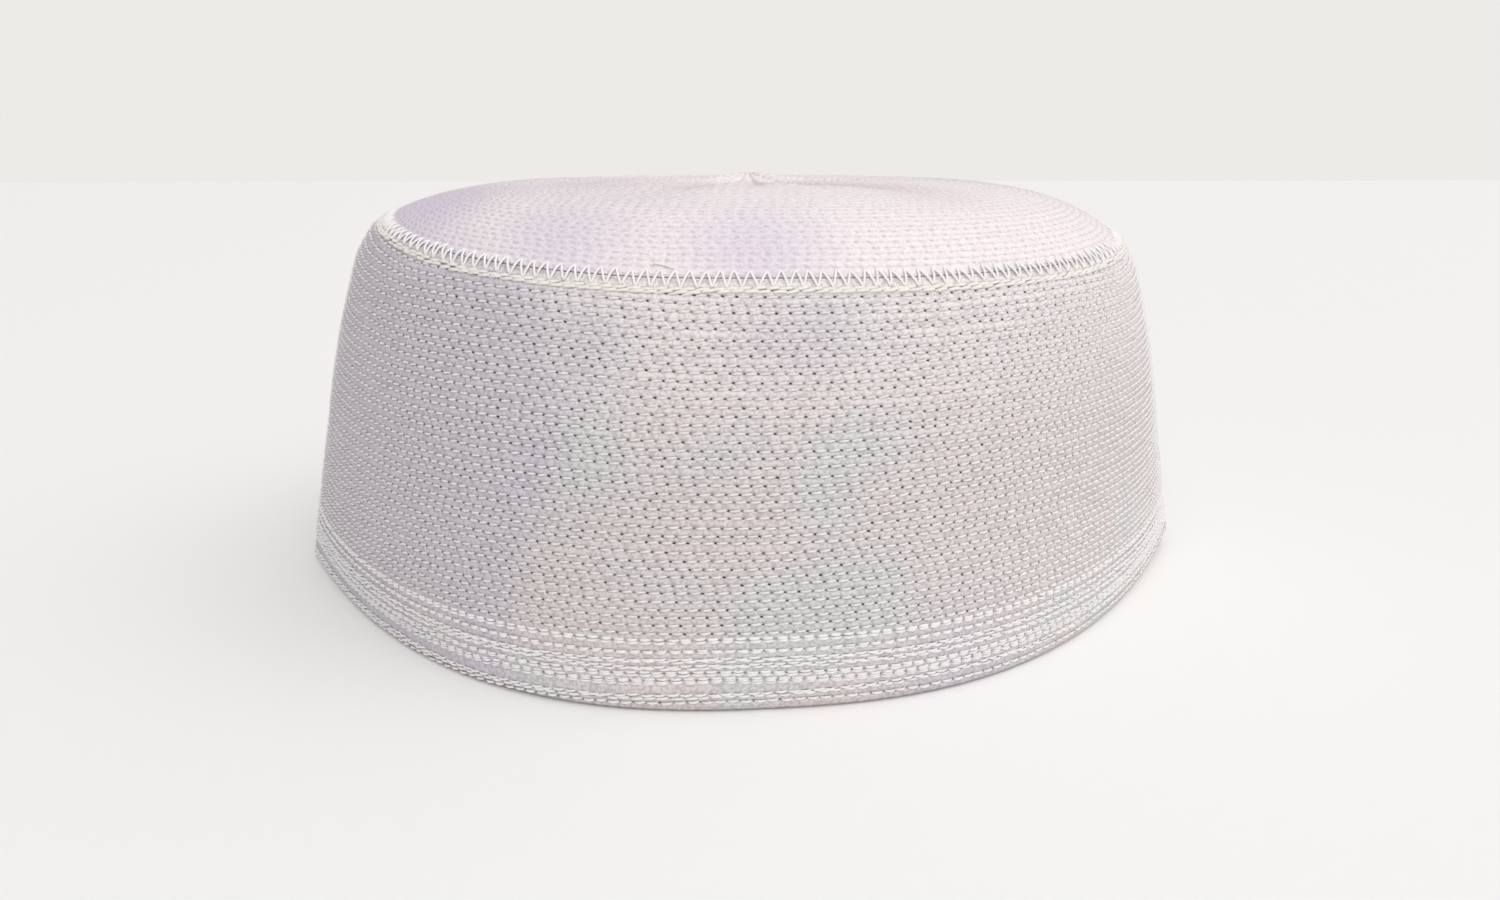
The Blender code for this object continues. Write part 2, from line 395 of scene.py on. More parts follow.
def strip_uv(u_low, u_high, v_low, v_high):
    """The coordinates of each strip's quads, corner by corner. Rings have one column more, for the join."""
    u = np.stack([u_low[:, :-1], u_low[:, 1:], u_high[:, 1:], u_high[:, :-1]], axis=-1)
    v = np.stack([v_low[:, :-1], v_low[:, 1:], v_high[:, 1:], v_high[:, :-1]], axis=-1)
    return np.stack([u, v], axis=-1)


def new_piece(name, points, face_sets, uv_sets, material, **attributes):
    """A smooth mesh object from points and from sets of faces that each hold a row of corners per face.

    The attributes are named sets of one value for each point.
    """
    corners = np.concatenate([faces.ravel() for faces in face_sets])
    sizes = np.concatenate([np.full(len(faces), faces.shape[1]) for faces in face_sets])
    mesh = bpy.data.meshes.new(name)
    mesh.vertices.add(len(points))
    mesh.vertices.foreach_set("co", np.asarray(points, np.float32).ravel())
    mesh.loops.add(len(corners))
    mesh.loops.foreach_set("vertex_index", corners.astype(np.int32))
    mesh.polygons.add(len(sizes))
    mesh.polygons.foreach_set("loop_start", (np.cumsum(sizes) - sizes).astype(np.int32))
    mesh.update(calc_edges=True)
    mesh.validate()
    layer = mesh.uv_layers.new(name="stitches")
    all_uv = np.concatenate([uv.reshape(-1, 2) for uv in uv_sets])
    layer.uv.foreach_set("vector", all_uv.astype(np.float32).ravel())
    for label, values in attributes.items():
        mesh.attributes.new(label, "FLOAT", "POINT").data.foreach_set("value", values.astype(np.float32))
    mesh.shade_smooth()
    mesh.materials.append(material)
    piece = bpy.data.objects.new(name, mesh)
    bpy.context.scene.collection.objects.link(piece)
    return piece


def inner_wall(run):
    """Thickness of the wall at a run: the hem's below its top, easing to the band's above it."""
    return WALL + (HEM_WALL - WALL) * np.clip((HEM_TOP + HEM_EASE - run) / HEM_EASE, 0, 1)


def shader_node(tree, kind, **values):
    """A node with some of its properties and inputs set by name."""
    node = tree.nodes.new(kind)
    for name, value in values.items():
        if hasattr(node, name):
            setattr(node, name, value)
        else:
            node.inputs[name.replace("_", " ").title()].default_value = value
    return node


def maths(tree, operation, *terms):
    """The output of a Math node whose inputs are numbers or other outputs."""
    node = tree.nodes.new("ShaderNodeMath")
    node.operation = operation
    for socket, term in zip(node.inputs, terms):
        if isinstance(term, (int, float)):
            socket.default_value = term
        else:
            tree.links.new(term, socket)
    return node.outputs[0]


def colour_mix(tree, amount, first, second, blend="MIX"):
    """The output of a colour Mix node between two colours or outputs."""
    node = tree.nodes.new("ShaderNodeMix")
    node.data_type = "RGBA"
    node.blend_type = blend
    for socket, term in ((node.inputs[0], amount), (node.inputs[6], first), (node.inputs[7], second)):
        if isinstance(term, (int, float, tuple)):
            socket.default_value = term
        else:
            tree.links.new(term, socket)
    return node.outputs[2]


def noise(tree, place, scale):
    """The output of a Noise node at a place, from 0 to 1 and about a half on average."""
    node = shader_node(tree, "ShaderNodeTexNoise", scale=scale, detail=1.0)
    tree.links.new(place, node.inputs["Vector"])
    return node.outputs["Fac"]


def stepped(tree, value, low, high):
    """The value carried from 0 at low to 1 at high in a smooth step."""
    node = shader_node(tree, "ShaderNodeMapRange", from_min=low, from_max=high)
    node.interpolation_type = "SMOOTHSTEP"
    tree.links.new(value, node.inputs["Value"])
    return node.outputs["Result"]


def split(tree, vector):
    """The outputs X, Y and Z of a Separate XYZ node."""
    node = tree.nodes.new("ShaderNodeSeparateXYZ")
    tree.links.new(vector, node.inputs[0])
    return node.outputs


def add_bump(tree, shader, height, distance):
    """A Bump node between a height and the shader's normal."""
    node = shader_node(tree, "ShaderNodeBump", distance=distance, strength=1.0)
    tree.links.new(height, node.inputs["Height"])
    tree.links.new(node.outputs["Normal"], shader.inputs["Normal"])


def new_material(name, roughness, specular, sheen):
    """A material with these values on its shader. Returns it, its tree of nodes and the shader."""
    material = bpy.data.materials.new(name)
    material.use_nodes = True
    shader = material.node_tree.nodes["Principled BSDF"]
    shader.inputs["Roughness"].default_value = roughness
    shader.inputs["Specular IOR Level"].default_value = specular
    shader.inputs["Sheen Weight"].default_value = sheen
    return material, material.node_tree, shader


HOLE_LENGTH = 0.33 * MM  # half the length of a needle hole along its row
HOLE_HEIGHT = 0.20 * MM
HOLE_LEAN = -0.3384  # stitches that a hole would lean by over the height of a row
HOLE_EDGE = (0.70, 1.40)  # distances, in sizes of the hole, between which it fades out
HOLE_LEAST = 0.55  # strength of the faintest hole
PUCKER_EDGE = (0.4, 3.2)  # distances between which the cloth rises beside a hole
PATCH_SCALE = 24.0  # of the noise that makes the lilac tint patchy
LILAC_SHADE_PULL = 3.3  # growth of the lilac tint, partly painted shade, for each metre towards -X, where less light comes from
LILAC_AND_SHADE_EDGE = (0.075, 0.225)
SPOT_STRENGTH = 0.7
COOL_SCALE = 38.0  # of the noise that spreads the second tint
COOL_PULL = 1.2
COOL_EDGE = (0.48, 0.60)
PAINTED_TOP_LIGHT = (0.92, 0.86, 0.87, 1)  # painted light: the cloth is painted whiter with height, where the band's top and the crown face the light from above
TOP_LIGHT_EDGE = (0.040, 0.074)  # heights between which the painted light grows
TOP_LIGHT_STRENGTH = 0.58
FOLD_SHADE = (0.84, 0.78, 0.80, 1)  # painted shade: how much darker the cloth is painted in the pleats' valleys
GRAIN_SCALE = 1500.0
GRAIN_EDGE = (0.60, 0.36)  # values of the grain's noise at which the cloth is clear, and darkest
WEAVE_COUNTS = (9, 5)  # threads of the weave in each stitch and in each row
WEAVE_BUMP = 0.10
GRAIN_BUMP = 1.6
PUCKER_BUMP = 1.4
BUMP_HEIGHT = 0.12 * MM


def soft_spot(tree, place, centre, radius):
    """The output that falls in a smooth step from 1 at a centre to 0 at a radius from it."""
    node = tree.nodes.new("ShaderNodeVectorMath")
    node.operation = "DISTANCE"
    node.inputs[1].default_value = centre
    tree.links.new(place, node.inputs[0])
    return maths(tree, "SUBTRACT", 1.0, stepped(tree, node.outputs["Value"], 0.0, radius))


def needle_holes(tree, along, row):
    """The distance from the nearest needle hole in sizes of the hole, and how strongly a hole's painted
    shade shows.

    With a and b the distances from a whole u, leaned, and from a whole v, the distance is the root of
    (a stitch / length)^2 + (b pitch / height)^2. Each hole has a random strength of its own.
    """
    nearest_row = maths(tree, "ROUND", row)
    lean = maths(tree, "MULTIPLY", maths(tree, "SUBTRACT", row, nearest_row), HOLE_LEAN)
    leaned = maths(tree, "SUBTRACT", along, lean)
    a = maths(tree, "MULTIPLY", maths(tree, "PINGPONG", leaned, 0.5), STITCH / HOLE_LENGTH)
    b = maths(tree, "MULTIPLY", maths(tree, "PINGPONG", row, 0.5), ROW_PITCH / HOLE_HEIGHT)
    squares = maths(tree, "ADD", maths(tree, "POWER", a, 2.0), maths(tree, "POWER", b, 2.0))
    away = maths(tree, "SQRT", squares)
    hole_number = tree.nodes.new("ShaderNodeCombineXYZ")
    tree.links.new(maths(tree, "ROUND", leaned), hole_number.inputs["X"])
    tree.links.new(nearest_row, hole_number.inputs["Y"])
    chance = tree.nodes.new("ShaderNodeTexWhiteNoise")
    chance.noise_dimensions = "2D"
    tree.links.new(hole_number.outputs[0], chance.inputs["Vector"])
    strength = maths(tree, "MULTIPLY_ADD", chance.outputs["Value"], 1 - HOLE_LEAST, HOLE_LEAST)
    needle = shader_node(tree, "ShaderNodeAttribute", attribute_name="needle").outputs["Fac"]
    in_hole = maths(tree, "SUBTRACT", 1.0, stepped(tree, away, *HOLE_EDGE))
    return away, maths(tree, "MULTIPLY", maths(tree, "MULTIPLY", in_hole, needle), strength)


def lilac_tint_and_shade(tree, place, left, patchy, spots):
    """Lilac tint's share, partly painted shade: it grows towards -X with a patchy edge, and covers the
    spots.
    """
    patch = maths(tree, "SUBTRACT", noise(tree, place, PATCH_SCALE), 0.5)
    patch = maths(tree, "MULTIPLY", patch, patchy)
    pull = maths(tree, "MULTIPLY", left, LILAC_SHADE_PULL)
    share = stepped(tree, maths(tree, "SUBTRACT", patch, pull), *LILAC_AND_SHADE_EDGE)
    for centre, radius in spots:
        spot = maths(tree, "MULTIPLY", soft_spot(tree, place, centre, radius), SPOT_STRENGTH)
        share = maths(tree, "MAXIMUM", share, spot)
    return share


def quilted_cotton(name, cloth, lilac_and_shade, cool, hole_shade_colour, grain, patchy, spots):
    """Off-white cotton between rows of stitches, with needle holes and puckers, a grain and a weave.

    The colour is the cloth's with soft patches of two tints. The lilac one is partly a real tint and partly
    painted shade: it grows towards -X, where less light comes from. Painted light whitens the cloth with
    height, painted shade darkens it in the pleats and in the needle holes, and the hollows of the grain are
    darker. The spots are given by centre and radius. The height for the bump adds up the weave (a product of
    two sine waves), the grain and the pucker.
    """
    material, tree, shader = new_material(name, roughness=0.88, specular=0.25, sheen=0.15)
    uv = shader_node(tree, "ShaderNodeUVMap", uv_map="stitches").outputs["UV"]
    along, row, _ = split(tree, uv)
    place = tree.nodes.new("ShaderNodeTexCoord").outputs["Object"]
    across, _, up = split(tree, place)

    away, hole_share = needle_holes(tree, along, row)
    lilac_and_shade_share = lilac_tint_and_shade(tree, place, across, patchy, spots)
    cool_pull = maths(tree, "MULTIPLY", across, COOL_PULL)
    cool_patch = maths(tree, "SUBTRACT", noise(tree, place, COOL_SCALE), cool_pull)
    cool_share = stepped(tree, cool_patch, *COOL_EDGE)
    top_light_share = maths(tree, "MULTIPLY", stepped(tree, up, *TOP_LIGHT_EDGE), TOP_LIGHT_STRENGTH)
    crease = shader_node(tree, "ShaderNodeAttribute", attribute_name="crease").outputs["Fac"]
    crinkle = noise(tree, place, GRAIN_SCALE)
    shade = colour_mix(tree, cool_share, cloth, cool)
    # painted light: the cloth is painted whiter with height, where light from above falls
    shade = colour_mix(tree, top_light_share, shade, PAINTED_TOP_LIGHT)
    # lilac tint, partly painted shade towards -X, where less light comes from
    shade = colour_mix(tree, lilac_and_shade_share, shade, lilac_and_shade)
    # painted shade in the pleats and creases, by their depth
    shade = colour_mix(tree, crease, shade, FOLD_SHADE, "MULTIPLY")
    shade = colour_mix(tree, stepped(tree, crinkle, *GRAIN_EDGE), shade, grain, "MULTIPLY")
    # painted shade in the needle holes
    shade = colour_mix(tree, hole_share, shade, hole_shade_colour)
    tree.links.new(shade, shader.inputs["Base Color"])

    waves = [
        maths(tree, "SINE", maths(tree, "MULTIPLY", way, 2 * math.pi * threads))
        for way, threads in zip((along, row), WEAVE_COUNTS)
    ]
    height = maths(tree, "MULTIPLY", maths(tree, "MULTIPLY", *waves), WEAVE_BUMP)
    height = maths(tree, "MULTIPLY_ADD", crinkle, GRAIN_BUMP, height)
    height = maths(tree, "MULTIPLY_ADD", stepped(tree, away, *PUCKER_EDGE), PUCKER_BUMP, height)
    add_bump(tree, shader, height, BUMP_HEIGHT)
    return material


BAND_COTTON = quilted_cotton(
    "band_cotton",
    cloth=(0.705, 0.645, 0.645, 1),
    lilac_and_shade=(0.62, 0.585, 0.65, 1),
    cool=(0.655, 0.655, 0.655, 1),
    hole_shade_colour=(0.045, 0.04, 0.04, 1),
    grain=(0.78, 0.77, 0.77, 1),
    patchy=0.75,
    spots=[((0.036, -0.078, 0.001), 0.028)],
)


def ribbed_cloth(lines, holes, steps, relief, columns, closing):
    """The outer rings of quilted wall with the closing rings after them, the coordinates and the holes.

    The holes' strength is given for each line and returned for each point. The coordinates are those of the
    quads between the rings.
    """
    counts, phases = stitch_counts(lines)
    points, v = ribbed_rings(lines, steps, relief, columns)
    rows = row_of_strips(len(lines) - 1, steps)
    share = np.arange(columns + 1) / columns
    last_points, _ = on_face(share, round_cap(lines[-1], columns), relief[0])
    points = np.concatenate([points, last_points[None]])
    v = np.concatenate([v, np.full((1, columns + 1), len(lines) - 1.0)])
    u = share * counts[rows][:, None] + phases[rows][:, None]
    outer_uv = strip_uv(u, u, v[:-1], v[1:])
    rings = np.concatenate([points, closing])[:, :-1]
    plain = np.broadcast_to(share * counts[0], (len(closing), columns + 1))
    closing_v = len(lines) - 0.5 + np.arange(len(closing))
    ends = np.append(len(lines) - 1.0, closing_v)[:, None] * np.ones(columns + 1)
    rest_uv = strip_uv(plain, plain, ends[:-1], ends[1:])
    uv = np.concatenate([outer_uv, rest_uv])
    needle = np.interp(v[:, 0], np.arange(len(lines)), holes)
    needle = np.concatenate([needle, np.zeros(len(closing))])
    return rings, uv, np.repeat(needle, columns)


def band_edges(columns):
    """The band's way back: over its top edge, down its inner face and round the fold of the rim.

    The inner face is the plain outer face set in by the wall. At an angle t round the fold, it goes in by
    half the wall times 1 - cos t and down by the rim's rise times a power of sin t.
    """
    share = np.arange(columns + 1) / columns
    top = round_cap(SEAM_LINE, columns) - SEAM_GAP / 2
    downwards = np.linspace(1, 0, int((SEAM_RUN - FOLD_RUN) / INSIDE_PITCH))[:, None]
    runs = downwards * (top - FOLD_RUN) + FOLD_RUN
    inner, _ = on_face(share, runs, -inner_wall(runs))
    edge_lift = np.array([[0.0], [-EDGE_DEPTH / 2], [-EDGE_DEPTH]])
    edge, _ = on_face(share, np.stack([top - INNER_END, top, top]), edge_lift)
    rim, rim_facing = on_face(share, FOLD_RUN, 0.0)
    flat = unit(rim_facing * (1, 1, 0))
    bottom, _ = on_face(share, 0.0, 0.0)
    turn = np.radians(FOLD_TURNS)[:, None, None]
    drop = (rim[:, 2] - bottom[:, 2])[:, None] * (0, 0, 1)
    fold = rim - flat * HEM_WALL / 2 * (1 - np.cos(turn)) - drop * np.sin(turn) ** FOLD_TUCK
    return np.concatenate([edge, inner, fold])


BAND_LINES = np.concatenate([
    np.full((1, CHART_COLUMNS), FOLD_RUN),
    HEM_LINES,
    FINE_LINES,
    SHOULDER_LINE[None],
    SEAM_LINE[None] - BAND_EDGE,
])
BAND_HOLES = np.array([0.0, *[row[-1] for row in HEM_ROWS], *[1.0] * FINE_ROWS, 0.5, 0.0])
LEAST_SPACING = 1e-7  # metres by which each row stays above the one below it


def make_side_band():
    """The band's cloth, with its last ring joined to its first."""
    lines = np.maximum.accumulate(BAND_LINES + np.arange(len(BAND_LINES))[:, None] * LEAST_SPACING, axis=0)
    columns = BAND_MESH_COLUMNS
    closing = band_edges(columns)
    rings, uv, needle = ribbed_cloth(lines, BAND_HOLES, RIB_STEPS, RIB_RELIEF, columns, closing)
    last = (len(rings) - 1) * columns
    here = np.arange(columns)
    there = (here + 1) % columns
    join = np.stack([last + here, last + there, there, here], axis=-1)
    piece = new_piece(
        "band_cloth",
        rings.reshape(-1, 3),
        [strips(len(rings), columns).reshape(-1, 4), join],
        [uv, np.full((columns, 4, 2), 0.5)],
        BAND_COTTON,
        needle=needle,
    )
    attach(piece, "root")
    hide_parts("side_band")


make_side_band()

# Crown
# The top of the cap: a round of the same quilted cotton, stitched in rings and gathered into pleats at its
# centre. Its edge butts against the band's, and the zigzag seam holds them together.
CROWN_ROWS = 49
CROWN_START = 2.2 * MM  # from the seam to the first ring of stitches
CROWN_END = 7.5 * MM  # and from the last one to the centre
CROWN_WANDER = 0.7 * ROW_WANDER
CENTRE_STEPS = (5.6, 3.8, 2.2, 1.0)  # mm from the centre, rings of plain cloth within the last row
CROWN_HOLES = (1.2, -1.0)  # strength of the needle holes in the first ring and the last, kept from 0 to 1
CROWN_MESH_COLUMNS = 360
CROWN_STEPS = (0.0, 0.3, 0.7)
CROWN_RELIEF = (-0.04 * MM, 0.02 * MM, 0.02 * MM)
CROWN_WALL = 2.0 * MM
INSIDE_STITCHES = 200  # for the coordinates of the plain inside
FULL_FOLD = 1.1 * MM  # depth at which a pleat's painted shade is darkest
CREASE_WEIGHT = 1.6  # how much deeper a small crease counts
FOLD_START = 0.08  # share of the radius at which the pleats' painted shade starts
FOLD_EASE = 0.16  # and the share over which they do
INNER_CENTRE = 2 * MM  # radius of the innermost ring inside
POLE_SINK = 0.1 * MM
CROWN_COTTON = quilted_cotton(
    "crown_cotton",
    cloth=(0.84, 0.765, 0.785, 1),
    lilac_and_shade=(0.70, 0.633, 0.75, 1),
    cool=(0.83, 0.77, 0.78, 1),
    hole_shade_colour=(0.60, 0.535, 0.57, 1),
    grain=(0.91, 0.90, 0.91, 1),
    patchy=0.30,
    spots=[((-0.002, -0.068, 0.081), 0.022), ((-0.036, -0.060, 0.081), 0.024)],
)


def crown_lines():
    """Runs of the crown's rings of stitches, evenly spaced from the seam to the centre."""
    even = np.linspace(0, 1, CROWN_ROWS)[:, None]
    start = SEAM_LINE + CROWN_START
    return start + even * (CENTRE_RUN - CROWN_END - start) + waver(CROWN_ROWS, CROWN_WANDER)


CROWN_LINES = crown_lines()


def fold_depth(points):
    """How deep in a pleat or crease each point lies, from 0 to 1, by its angle and share of the radius, for
    painted shade.
    """
    angle = np.degrees(np.arctan2(points[:, 1], points[:, 0]))
    seam = band_level(SEAM_HEIGHT)
    seam_angle = np.degrees(np.arctan2(seam[:, 1], seam[:, 0]))
    order = np.argsort(seam_angle)
    reach = np.interp(angle, seam_angle[order], np.hypot(seam[:, 0], seam[:, 1])[order], period=360)
    radius = np.hypot(points[:, 0], points[:, 1]) / reach
    fade = np.clip((radius - FOLD_START) / FOLD_EASE, 0, 1)
    drop = pleat_drop(angle, radius) + CREASE_WEIGHT * crease_drop(angle, radius)
    return fade * np.clip(drop / FULL_FOLD, 0, 1)


def make_crown():
    """The crown's cloth: inner rings, rounded edge and outer rings, with a pole at each face's centre."""
    columns = CROWN_MESH_COLUMNS
    share = np.arange(columns + 1) / columns
    centre = CENTRE_RUN - np.array(CENTRE_STEPS)[:, None] * MM * np.ones(CHART_COLUMNS)
    lines = np.concatenate([SEAM_LINE[None] + CROWN_EDGE, CROWN_LINES, centre])
    holes = np.array([0.0, *np.clip(np.linspace(*CROWN_HOLES, CROWN_ROWS), 0, 1), *[0.0] * len(centre)])
    closing = np.zeros((0, columns + 1, 3))
    rings, uv, needle = ribbed_cloth(lines, holes, CROWN_STEPS, CROWN_RELIEF, columns, closing)

    edge_run = round_cap(SEAM_LINE, columns) + SEAM_GAP / 2
    edge, _ = on_face(share, np.stack([edge_run, edge_run]), np.array([[-EDGE_DEPTH], [-EDGE_DEPTH / 2]]))
    start, _ = on_face(share, edge_run + INNER_END, 0.0)
    inwards = np.linspace(1, 0, int((CENTRE_RUN - SEAM_RUN) / INSIDE_PITCH))[:, None]
    inner_runs = inwards * (CENTRE_RUN - INNER_CENTRE - edge_run) + edge_run
    inner, _ = on_face(share, inner_runs, -CROWN_WALL)
    before = np.concatenate([inner, edge, start[None]])
    before_v, before_u = np.meshgrid(np.arange(len(before)), share * INSIDE_STITCHES, indexing="ij")
    before_uv = strip_uv(before_u, before_u, before_v - 0.5, before_v + 0.5)

    all_rings = np.concatenate([before[:, :-1], rings])
    pole_over, _ = on_face(np.array([0.0]), CENTRE_RUN, -POLE_SINK)
    pole_under, _ = on_face(np.array([0.0]), CENTRE_RUN, -CROWN_WALL)
    points = np.concatenate([all_rings.reshape(-1, 3), pole_under, pole_over])
    here = np.arange(columns)
    there = (here + 1) % columns
    last = (len(all_rings) - 1) * columns
    poles = len(all_rings) * columns
    under = np.stack([there, here, np.full(columns, poles)], axis=-1)
    over = np.stack([last + here, last + there, np.full(columns, poles + 1)], axis=-1)
    piece = new_piece(
        "crown_cloth",
        points,
        [strips(len(all_rings), columns).reshape(-1, 4), under, over],
        [before_uv, uv, np.full((2 * columns * 3, 2), 0.5)],
        CROWN_COTTON,
        needle=np.concatenate([np.zeros(len(before) * columns), needle, [0.0, 0.0]]),
        crease=fold_depth(points),
    )
    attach(piece, "root")
    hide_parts("crown")


make_crown()

# Fine lockstitch rows
# White sewing thread that shows as a dash from one needle hole to the next, pulled down into the cloth at
# both ends. Each dash rises a little on its way, as a lockstitch does when rows are sewn round and round.
# Shown is the share of a stitch that shows between two holes. Sink and rise are the lifts of the thread's
# middle at the holes and half way between them. The crown's threads are finer, and sink to its centre
FINE_SIZES = dict(shown=0.85, width=0.58 * MM, sink=-0.34 * MM, rise=0.17 * MM, slant=0.22 * MM)
CROWN_SIZES = dict(shown=0.78, width=0.36 * MM, sink=-0.26 * MM, slant=0.22 * MM)
CROWN_RISE_PLACES = (0.0, 0.35, 0.7)  # shares of the crown's rows from the seam, and the rise there
CROWN_RISES = (0.02 * MM, -0.02 * MM, -0.15 * MM)
TWIST_LEAN = 2.2  # turns of its ridges round the thread in a millimetre
TWIST_RIDGES = 2
TWIST_BUMP = 0.03 * MM
STITCH_PLACES = np.array([0.0, 0.16, 0.5, 0.84, 1.0])  # along a stitch
LIFT_POWER = 0.7  # of the sine that lifts a stitch
END_WIDTH = 0.62  # share of the thread's width that is left at a stitch's ends
PLACE_STRAY = (0.02, 0.1)  # stitches by which one strays along its row, and what a loose one adds
RUN_STRAY = (0.03 * MM, 0.12 * MM)  # and the same across it
SLANT_STRAY = 0.3  # shares by which slant and width differ
WIDTH_STRAY = 0.06
SQUARE_TURN = 0.25  # sides by which a four-sided thread is turned
stitch_random = np.random.default_rng(23)


def sewing_thread(name, shade):
    """White cotton sewing thread. Its twist's ridges are a sine wave of u times their lean plus v."""
    material, tree, shader = new_material(name, roughness=0.62, specular=0.35, sheen=0.2)
    shader.inputs["Base Color"].default_value = shade
    along, around, _ = split(tree, shader_node(tree, "ShaderNodeUVMap", uv_map="stitches").outputs["UV"])
    turns = maths(tree, "MULTIPLY_ADD", along, TWIST_LEAN, around)
    ridge = maths(tree, "SINE", maths(tree, "MULTIPLY", turns, 2 * math.pi * TWIST_RIDGES))
    add_bump(tree, shader, ridge, TWIST_BUMP)
    return material


def tubes(centre, facing, radius, sides):
    """Closed threads along paths: rings of points round each path's line, narrowed as the radius says.

    centre and facing are arrays of threads by places along by 3. Returns points, side faces, end faces, uv.
    """
    count, places = centre.shape[:2]
    ahead = unit(np.gradient(centre, axis=1))
    aside = unit(np.cross(ahead, facing))
    over = np.cross(aside, ahead)
    side = np.arange(sides)
    turn = 2 * math.pi * (side + SQUARE_TURN * (sides == 4)) / sides + math.pi / 2
    ring = np.cos(turn)[:, None] * aside[:, :, None] + np.sin(turn)[:, None] * over[:, :, None]
    points = centre[:, :, None] + ring * radius[:, :, None, None]
    first = np.arange(count * places).reshape(count, places, 1) * sides
    base = first[:, :-1]
    beside = (side + 1) % sides
    quads = np.stack([base + side, base + beside, base + sides + beside, base + sides + side], axis=-1)
    ends = np.concatenate([first[:, 0] + side[::-1], first[:, -1] + side])
    length = np.linalg.norm(np.diff(centre, axis=1), axis=-1).cumsum(axis=1) / MM
    length = np.concatenate([np.zeros((count, 1)), length], axis=1)[:, :, None]
    low, high = length[:, :-1], length[:, 1:]
    around = side / sides
    u = np.stack([low, low, high, high], axis=-1)
    v = np.stack([around, around + 1 / sides, around + 1 / sides, around], axis=-1)
    uv = np.stack(np.broadcast_arrays(u, v), axis=-1)
    return points.reshape(-1, 3), quads.reshape(-1, 4), ends, uv, np.zeros((ends.size, 2))


def stitch_row(line, count, phase, shown, width, sink, rise, slant, shift=0.0, loose=0.0):
    """Centres, facings and radii of the stitches of one row.

    A stitch runs along the row from hole to hole. Its lift follows a power of half a sine wave from sink to
    rise, its run goes up by the slant, and its width grows from its ends' share with the root of the wave.
    """
    count = int(count)
    t = STITCH_PLACES
    wave = np.sin(math.pi * t)
    middle = np.arange(count) + 0.5 - phase
    middle = middle + stitch_random.normal(0, PLACE_STRAY[0] + loose * PLACE_STRAY[1], count)
    share = (middle[:, None] + (t - 0.5) * shown) / count
    base = np.interp(share, CHART_SHARES, line, period=1)
    tilt = slant * (1 + stitch_random.normal(0, SLANT_STRAY, count))[:, None] * (t - 0.5)
    stray = stitch_random.normal(0, RUN_STRAY[0] + loose * RUN_STRAY[1], count)[:, None]
    lift = sink + (rise - sink) * wave**LIFT_POWER
    centre, facing = on_face(share, base + tilt + stray + shift, np.broadcast_to(lift, share.shape))
    thickness = width * (1 + stitch_random.normal(0, WIDTH_STRAY, count))[:, None]
    return centre, facing, thickness / 2 * (END_WIDTH + (1 - END_WIDTH) * np.sqrt(wave))


def thread_piece(name, rows, sides, material):
    """One piece of all the stitches of some rows."""
    centre, facing, radius = (np.concatenate(part) for part in zip(*rows))
    points, quads, ends, uv, end_uv = tubes(centre, facing, radius, sides)
    piece = new_piece(name, points, [quads, ends], [uv, end_uv], material)
    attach(piece, "root")


BAND_THREAD = sewing_thread("band_thread", (1.0, 0.985, 0.985, 1))
# Painted shade: the crown's thread is the band's white thread, painted darker on the crown, which takes more
# light
CROWN_THREAD = sewing_thread("crown_thread", (0.93, 0.885, 0.91, 1))
# The threads use the cloth's own counts and phases. The fine rows come after the rim and the hem rows
band_counts, band_phases = stitch_counts(BAND_LINES)
FIRST_FINE = 1 + len(HEM_ROWS)
fine = [
    stitch_row(line, count, phase, **FINE_SIZES)
    for line, count, phase in zip(FINE_LINES, band_counts[FIRST_FINE:], band_phases[FIRST_FINE:])
]
thread_piece("fine_stitches_lower", fine[: FINE_ROWS // 2], 3, BAND_THREAD)
thread_piece("fine_stitches_upper", fine[FINE_ROWS // 2 :], 3, BAND_THREAD)

crown_counts, crown_phases = stitch_counts(np.concatenate([SEAM_LINE[None] + CROWN_EDGE, CROWN_LINES]))
crown_rises = np.interp(np.arange(CROWN_ROWS) / CROWN_ROWS, CROWN_RISE_PLACES, CROWN_RISES)
crown_rows = [
    stitch_row(line, count, phase, rise=rise, **CROWN_SIZES)
    for line, count, phase, rise in zip(CROWN_LINES, crown_counts[1:], crown_phases[1:], crown_rises)
]
thread_piece("crown_stitches", crown_rows, 3, CROWN_THREAD)

# Heavy rows above the rim
# Up to three cotton threads laid side by side in each row hold the turned-in edge. In three of the rows
# their long stitches overlap into an almost unbroken line.
HEM_SIZES = dict(sink=-0.20 * MM, rise=0.24 * MM, slant=0.06 * MM)
HEM_LOOSE = 0.22
LONG_SHOWN = 0.9  # share shown from which a row's stitches are long, and moved along from thread to thread
LONG_LOOSE = 0.45
LONG_STEP = 0.35


def hem_stitches():
    """The stitches of each row's threads, which are spread evenly about its line."""
    rows = []
    for row, line, count, phase in zip(HEM_ROWS, HEM_LINES, band_counts[1:], band_phases[1:]):
        threads, spread, width, shown = row[3:7]
        loose, step = (LONG_LOOSE, LONG_STEP) if shown > LONG_SHOWN else (HEM_LOOSE, 0.0)
        sizes = dict(shown=shown, width=width * MM, loose=loose, **HEM_SIZES)
        for k in range(threads):
            shift = (k - (threads - 1) / 2) * spread * MM
            rows.append(stitch_row(line, count, phase + step * k, shift=shift, **sizes))
    return rows


thread_piece("hem_stitches", hem_stitches(), 4, BAND_THREAD)

